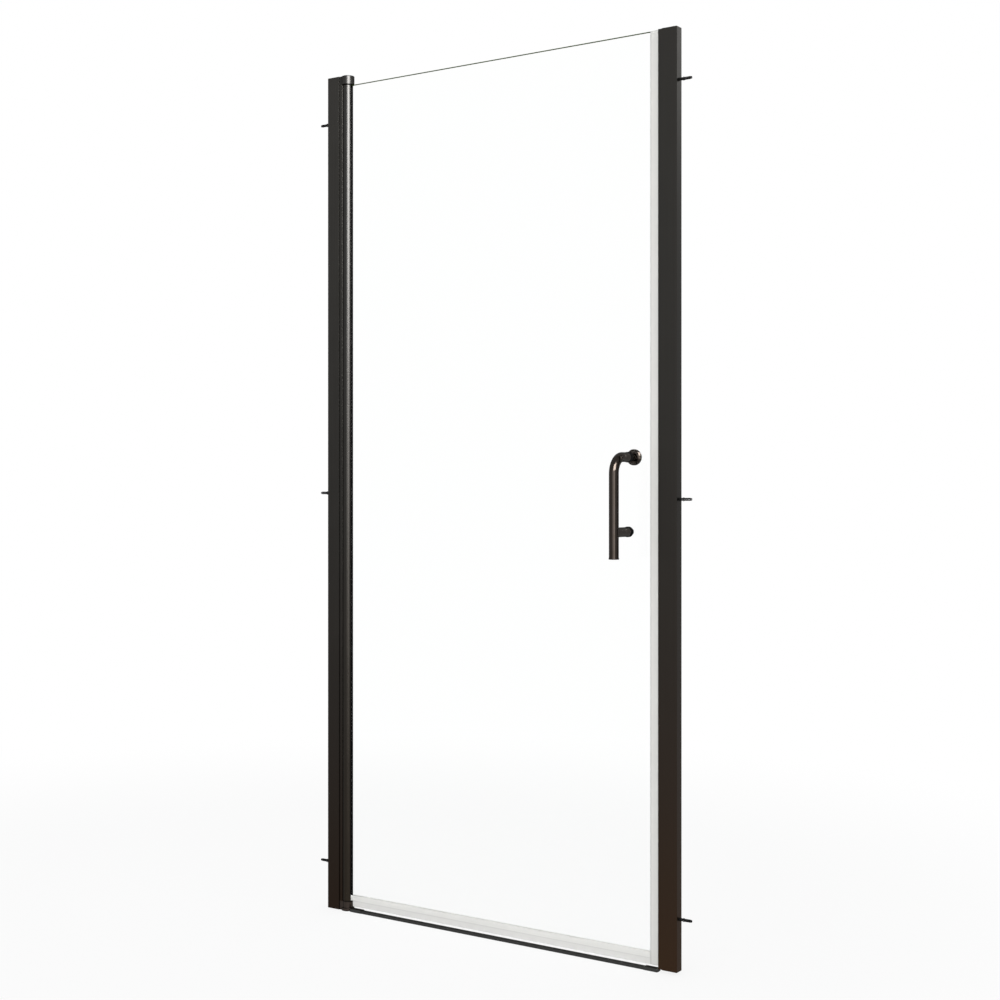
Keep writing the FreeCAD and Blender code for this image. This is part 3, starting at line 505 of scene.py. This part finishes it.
# Shapes
def merged_copy(node):
    """A CAD node's shape with its triangles joined into whole faces."""
    shape = bmesh.new()
    shape.from_mesh(NODES[node].data)
    bmesh.ops.remove_doubles(shape, verts=shape.verts, dist=WELD)
    bmesh.ops.dissolve_limit(shape, angle_limit=FLAT, verts=shape.verts, edges=shape.edges)
    return shape


def run_edges(shape):
    """The sharp edges that run along an extrusion."""
    long_edges = [edge for edge in shape.edges if edge.calc_length() > RUN_LENGTH]
    return [edge for edge in long_edges if edge.calc_face_angle(0) > SHARP]


def soften(shape, edges, width, segments):
    bmesh.ops.bevel(
        shape, geom=edges, offset=width, offset_type="OFFSET", affect="EDGES", segments=segments,
        profile=0.5, material=-1, clamp_overlap=True)


def place_piece(name, shape, material, node):
    """Make a shape the piece that takes a CAD node's place and moves with its body."""
    mesh = bpy.data.meshes.new(name)
    shape.to_mesh(mesh)
    shape.free()
    mesh.shade_smooth()
    mesh.set_sharp_from_angle(angle=SMOOTH_BELOW)
    mesh.materials.append(material)
    piece = bpy.data.objects.new(name, mesh)
    piece.modifiers.new("flat_faces", "WEIGHTED_NORMAL").keep_sharp = True
    bpy.context.scene.collection.objects.link(piece)
    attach(piece, NODES[node]["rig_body"])
    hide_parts(node)


def round_runs(material, slot, width, *nodes):
    """Extrusions with the softly rounded edges that a die gives, and square cut ends."""
    for node in nodes:
        shape = merged_copy(node)
        soften(shape, run_edges(shape), width, segments=3)
        place_piece(f"{node}_rounded", shape, material, node)


def lip_edges(shape):
    """The two thin edges of the hinge jamb that reach round the stile."""
    tip = max(vertex.co.x for vertex in shape.verts)
    near_tip = tip - 0.5 * MM
    return [edge for edge in run_edges(shape) if min(vertex.co.x for vertex in edge.verts) > near_tip]


def join(shape, part, places):
    """Add a copy of a part to a shape at each place, and free the part."""
    bmesh.ops.recalc_face_normals(part, faces=part.faces)
    mesh = bpy.data.meshes.new("part")
    part.to_mesh(mesh)
    part.free()
    for place in places:
        first = len(shape.verts)
        shape.from_mesh(mesh)
        shape.verts.ensure_lookup_table()
        bmesh.ops.transform(shape, matrix=place, verts=shape.verts[first:])
    bpy.data.meshes.remove(mesh)


def turned(outline, angle, steps):
    """A closed outline of places along X and radii, turned about X, all the way round or capped."""
    shape = bmesh.new()
    face = shape.faces.new([shape.verts.new((along, 0, radius)) for along, radius in outline])
    whole = angle == FULL_TURN
    if whole:
        bmesh.ops.delete(shape, geom=[face], context="FACES_ONLY")
    else:
        turn = Matrix.Rotation(-angle / 2, 3, "X")
        bmesh.ops.rotate(shape, cent=(0, 0, 0), matrix=turn, verts=shape.verts)
    bmesh.ops.spin(
        shape, geom=shape.verts[:] + shape.edges[:] + shape.faces[:], cent=(0, 0, 0), axis=(1, 0, 0),
        angle=angle, steps=steps, use_merge=whole)
    return shape


def plug_wing(sizes):
    """A wing whose back stands up from the plug and whose front ramps down towards the nose."""
    length, width, rounding = 3.6 * MM, 1.8 * MM, 0.2 * MM
    root = sizes.plug_radius * 0.8
    height = sizes.plug_wing - root
    middle = Vector((10.8 * MM, 0, root + height / 2))
    ramp = Vector((0, 0, -height * 0.8))
    shape = bmesh.new()
    corners = bmesh.ops.create_cube(shape, size=1)["verts"]
    bmesh.ops.scale(shape, vec=(length, width, height), verts=corners)
    bmesh.ops.translate(shape, vec=middle, verts=corners)
    front = [corner for corner in corners if corner.co.x > middle.x and corner.co.z > middle.z]
    bmesh.ops.translate(shape, vec=ramp, verts=front)
    soften(shape, shape.edges[:], rounding, segments=2)
    return shape


def wall_plug(sizes):
    """A split, ribbed plug with two wings, along X from the wall's face."""
    full, end = sizes.plug_radius, sizes.plug_length
    neck, groove, bore = full - 0.4 * MM, full - 0.35 * MM, full * 0.65
    behind_wall, split, nose = -1.6 * MM, 5 * MM, end - 4 * MM
    leg_start = split - 1 * MM
    rib_count, rib_top = 7, 0.8
    pitch = (nose - split) / rib_count
    ribs = []
    for rib in range(rib_count):
        ribs += [(split + rib * pitch, groove), (split + (rib + rib_top) * pitch, full)]
    tip = [(nose, full - 0.1 * MM), (end, bore + 0.35 * MM), (end, bore)]
    leg = [(leg_start, bore), (leg_start, groove), *ribs, *tip]
    collar = [(behind_wall, bore), (behind_wall, neck), (0, neck), (0, full), (split, full), (split, bore)]
    both_ways = (Matrix(), Matrix.Rotation(math.pi, 4, "X"))
    plug = bmesh.new()
    join(plug, turned(collar, FULL_TURN, steps=32), both_ways[:1])
    join(plug, turned(leg, math.radians(170), steps=16), both_ways)
    join(plug, plug_wing(sizes), both_ways)
    return plug


def plug_places(sizes):
    """Where the plugs leave the backs of the two wall channels, turned into their walls."""
    places = []
    for node, back, turn in (("hinge_wall_profile", 0, math.pi), ("strike_wall_profile", 1, 0)):
        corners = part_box(node)
        low, high = corners[0].z, corners[1].z
        for height in (low + sizes.plug_inset, (low + high) / 2, high - sizes.plug_inset):
            spot = Matrix.Translation((corners[back].x, 0, height))
            places.append(spot @ Matrix.Rotation(turn, 4, "Z"))
    return places


# Operators, one for each group of like pieces
class WallFrame(bpy.types.Operator):
    """Round and dress the wall channels and the jambs that slide in them"""

    bl_idname = "shower_door.wall_frame"
    bl_label = "Wall Channels and Jambs"

    def execute(self, context):
        look = context.scene.door_bronze
        sizes = context.scene.door_shape
        # Painted shade: both uprights turn browner and darker towards the floor
        hinge = bronze_coating(
            "hinge_bronze", look.coating, look.coating_pale, look.coating_foot_shade, look.coating_roughness,
            UPRIGHT, **FRAME_FALL)
        strike = bronze_coating(
            "strike_bronze", look.coating, look.coating_pale, look.strike_foot_shade, look.coating_roughness,
            UPRIGHT, **FRAME_FALL)
        round_runs(hinge, "dark_bronze", sizes.edge_round, "hinge_wall_profile")
        round_runs(strike, "dark_bronze", sizes.edge_round, "strike_wall_profile", "strike_jamb")
        jamb = merged_copy("hinge_jamb")
        soften(jamb, lip_edges(jamb), sizes.lip_round, segments=8)
        soften(jamb, run_edges(jamb), sizes.edge_round, segments=3)
        place_piece("hinge_jamb_rounded", jamb, hinge, "hinge_jamb")
        return {"FINISHED"}


class Pivots(bpy.types.Operator):
    """Dress the pivot brackets, bushes and pins"""

    bl_idname = "shower_door.pivots"
    bl_label = "Pivots"

    def execute(self, context):
        # Painted shade: the pivot fittings grade towards a browner colour lower down
        bronze = bronze_fitting("pivot_bronze", context.scene.door_bronze.fitting_foot_shade)
        dress(bronze, "top_pivot_cap", "bottom_pivot_block")
        dress(black_nylon(), "top_pivot_bush", "bottom_pivot_bush", "top_stile_plug", "bottom_stile_plug")
        dress(zinc_steel(), "top_pivot_pin", "bottom_pivot_pin", "pivot_bracket_screws")
        return {"FINISHED"}


class Leaf(bpy.types.Operator):
    """Dress the hinge stile, the glass and its black channel"""

    bl_idname = "shower_door.leaf"
    bl_label = "Stile and Glass"

    def execute(self, context):
        look = context.scene.door_bronze
        # Painted shade: the stile turns browner and darker towards the floor
        bronze = bronze_coating(
            "stile_bronze", look.stile, look.stile_pale, look.stile_foot, look.stile_roughness, UPRIGHT)
        dress(bronze, "hinge_stile")
        dress(clear_glass(), "glass_panel")
        dress(black_rubber(), "glazing_channel")
        return {"FINISHED"}


class Seals(bpy.types.Operator):
    """Round and dress the clear seals, and dress their magnets"""

    bl_idname = "shower_door.seals"
    bl_label = "Seals and Magnets"

    def execute(self, context):
        look = context.scene.door_clear
        width = context.scene.door_shape.seal_round
        leg_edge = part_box("door_magnet_seal")[0].x
        # Painted shade: a darker strip on the seal's leg and a darker line just past its edge
        seal = clear_vinyl(
            "seal_vinyl", look.seal, look.vinyl_cloud, clearness=0.2, stretch=UPRIGHT, axis="X",
            shade_line=leg_edge + 1.5 * MM, reach=1.5 * MM)
        glass_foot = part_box("glass_panel")[0].z
        # Painted shade: the sweep darker below a line where its drip lip starts, and darker still on that
        # line
        sweep = clear_vinyl(
            "sweep_vinyl", look.sweep, look.vinyl_cloud, clearness=0.3, stretch=LEVEL, axis="Z",
            shade_line=glass_foot - 1.3 * MM, reach=0.9 * MM)
        round_runs(seal, "clear_vinyl", width, "door_magnet_seal", "strike_magnet_carrier")
        round_runs(sweep, "clear_vinyl", width, "bottom_sweep")
        dress(white_magnet(), "door_magnet_strip", "strike_magnet_strip")
        return {"FINISHED"}


class Threshold(bpy.types.Operator):
    """Round and dress the water bar on the curb, and dress its end caps"""

    bl_idname = "shower_door.threshold"
    bl_label = "Threshold"

    def execute(self, context):
        look = context.scene.door_bronze
        # Painted shade: the water bar and its end caps darken and grade towards the foot colour, as they
        # sit at the floor
        bronze = bronze_coating(
            "threshold_bronze", look.coating, look.coating_pale, look.threshold, look.coating_roughness,
            LEVEL, FRAME_FADE)
        round_runs(bronze, "dark_bronze", context.scene.door_shape.edge_round, "threshold_bar")
        cap = bronze_fitting("end_cap_bronze", look.threshold)
        dress(cap, "threshold_end_cap_hinge", "threshold_end_cap_strike")
        return {"FINISHED"}


class Handle(bpy.types.Operator):
    """Dress the handle, the knob and what holds them in the glass"""

    bl_idname = "shower_door.handle"
    bl_label = "Handle and Knob"

    def execute(self, context):
        dress(bronze_plating(), "handle_bar", "handle_post", "handle_bar_cap", "inside_knob",
              "lower_handle_screw")
        dress(black_rubber(), "handle_collars", "handle_back_washers")
        dress(black_nylon(), "handle_hole_sleeves")
        dress(zinc_steel(), "handle_tube_inserts", "handle_stud")
        return {"FINISHED"}


class Fixings(bpy.types.Operator):
    """Model the wall plugs and dress the screws"""

    bl_idname = "shower_door.fixings"
    bl_label = "Plugs and Screws"

    def execute(self, context):
        sizes = context.scene.door_shape
        plugs = bmesh.new()
        join(plugs, wall_plug(sizes), plug_places(sizes))
        place_piece("ribbed_wall_plugs", plugs, black_nylon(), "wall_plugs")
        dress(zinc_steel(), "wall_screws", "jamb_screws")
        return {"FINISHED"}


def background_mask(finish):
    """One where a ray comes from the camera, a reflection or through something clear."""
    camera = finish.node("LightPath", out="Is Camera Ray")
    glossy = finish.node("LightPath", out="Is Glossy Ray")
    clear = finish.node("LightPath", out="Is Transmission Ray")
    return camera | glossy | clear


def studio_world(studio):
    """White where it is seen, and a softer grey where it lights."""
    bpy.context.scene.world = bpy.data.worlds.new("studio")
    finish = Finish(bpy.context.scene.world)
    colour = finish.mixed(background_mask(finish), studio.ambient, WHITE)
    sky = finish.node("Background", sockets={"Color": colour})
    finish.node("OutputWorld", sockets={"Surface": sky})


def studio_floor(studio):
    """A pale floor that looks white and still takes the door's shadow."""
    mesh = bpy.data.meshes.new("floor")
    shape = bmesh.new()
    bmesh.ops.create_grid(shape, x_segments=1, y_segments=1, size=studio.floor_size / 2)
    shape.to_mesh(mesh)
    shape.free()
    floor = bpy.data.objects.new("floor", mesh)
    bpy.context.scene.collection.objects.link(floor)
    finish = new_finish("pale_floor")
    lit = finish.node("BsdfDiffuse", sockets={"Color": studio.floor_colour})
    white = finish.node("Emission", sockets={"Color": WHITE, "Strength": 1})
    coordinates = finish.node("TexCoord", out="Object")
    distance = finish.node("VectorMath", {"operation": "LENGTH"}, {"Vector": coordinates}, out="Value")
    whiteness = finish.node("MapRange", {"interpolation_type": "SMOOTHSTEP"}, {
        "Value": distance, "From Min": 0.9, "From Max": 2.4, "To Min": 0.85, "To Max": 1})
    share = background_mask(finish) * whiteness
    mesh.materials.append(finish.output(finish.node("MixShader", sockets={0: share, 1: lit, 2: white})))


# The piece that the side card alone lights, and those that the bright cards are flagged off
SIDE_LIT = "strike_wall_profile_rounded"
FLAGGED = (SIDE_LIT, "strike_jamb_rounded", "threshold_bar_rounded")


def lamp(name, place, target, width, height, power):
    """A soft lamp of the given size, turned to its target and hidden from the camera."""
    light = bpy.data.lights.new(name, "AREA")
    light.shape = "RECTANGLE"
    light.size = width
    light.size_y = height
    light.energy = power
    thing = bpy.data.objects.new(name, light)
    thing.location = place
    thing.rotation_euler = (Vector(target) - Vector(place)).to_track_quat("-Z", "Y").to_euler()
    thing.visible_camera = False
    bpy.context.scene.collection.objects.link(thing)
    return thing


def shine_on(cards, things):
    """Let cards show in these things alone, and only as reflections."""
    receivers = bpy.data.collections.new(f"{cards[0].name}_receivers")
    for thing in things:
        receivers.objects.link(thing)
    for card in cards:
        card.visible_diffuse = False
        card.light_linking.receiver_collection = receivers


def studio_camera(studio):
    data = bpy.data.cameras.new("camera")
    data.sensor_width = 36
    data.lens = studio.lens
    data.shift_y = -studio.horizon_share
    camera = bpy.data.objects.new("camera", data)
    camera.location = studio.camera_place
    camera.rotation_euler = (math.radians(90), 0, studio.camera_turn)
    bpy.context.scene.collection.objects.link(camera)
    bpy.context.scene.camera = camera


class Stage(bpy.types.Operator):
    """Set up the floor, the lamps, the background and the camera"""

    bl_idname = "shower_door.stage"
    bl_label = "Studio"

    def execute(self, context):
        studio = context.scene.door_studio
        context.scene.view_settings.view_transform = "Standard"
        studio_world(studio)
        studio_floor(studio)
        lamp("key_lamp", place=(1.3, -3.4, 1.4), target=(0.43, 0, 0.9), width=3.0, height=1.8,
             power=studio.key_power)
        high = lamp("high_card", place=(2.46, -2.10, 2.75), target=(0.05, 0, 2.0), width=2.6, height=2.0,
                    power=studio.card_power)
        low = lamp("low_card", place=(2.58, -2.23, 1.0), target=(0.05, 0, 1.0), width=1.8, height=1.3,
                   power=studio.low_card_power)
        side = lamp("side_card", place=(2.265, 2.67, 2.9), target=(0.864, 0, 1.75), width=1.0, height=0.9,
                    power=studio.side_card_power)
        meshes = [thing for thing in context.scene.objects if thing.type == "MESH"]
        shine_on((high, low), [thing for thing in meshes if thing.name not in FLAGGED])
        shine_on((side,), [thing for thing in meshes if thing.name == SIDE_LIT])
        studio_camera(studio)
        return {"FINISHED"}


OPERATORS = (WallFrame, Pivots, Leaf, Seals, Threshold, Handle, Fixings, Stage)
SETTINGS = {
    "door_bronze": BronzeSettings,
    "door_clear": ClearSettings,
    "door_shape": ShapeSettings,
    "door_studio": StudioSettings,
}


class DoorPanel(bpy.types.Panel):
    """Lists the door's settings and its operators."""

    bl_idname = "VIEW3D_PT_shower_door"
    bl_label = "Shower Door"
    bl_space_type = "VIEW_3D"
    bl_region_type = "UI"
    bl_category = "Shower Door"

    def draw(self, context):
        for name, group in SETTINGS.items():
            box = self.layout.box()
            for setting in group.__annotations__:
                box.prop(getattr(context.scene, name), setting)
        for operator in OPERATORS:
            self.layout.operator(operator.bl_idname)


def register():
    for name, group in SETTINGS.items():
        bpy.utils.register_class(group)
        setattr(bpy.types.Scene, name, PointerProperty(type=group))
    for item in (*OPERATORS, DoorPanel):
        bpy.utils.register_class(item)


def unregister():
    for item in (DoorPanel, *reversed(OPERATORS)):
        bpy.utils.unregister_class(item)
    for name, group in SETTINGS.items():
        delattr(bpy.types.Scene, name)
        bpy.utils.unregister_class(group)


def main():
    register()
    for operator in OPERATORS:
        group, name = operator.bl_idname.split(".")
        getattr(getattr(bpy.ops, group), name)()


if __name__ == "__main__":
    main()
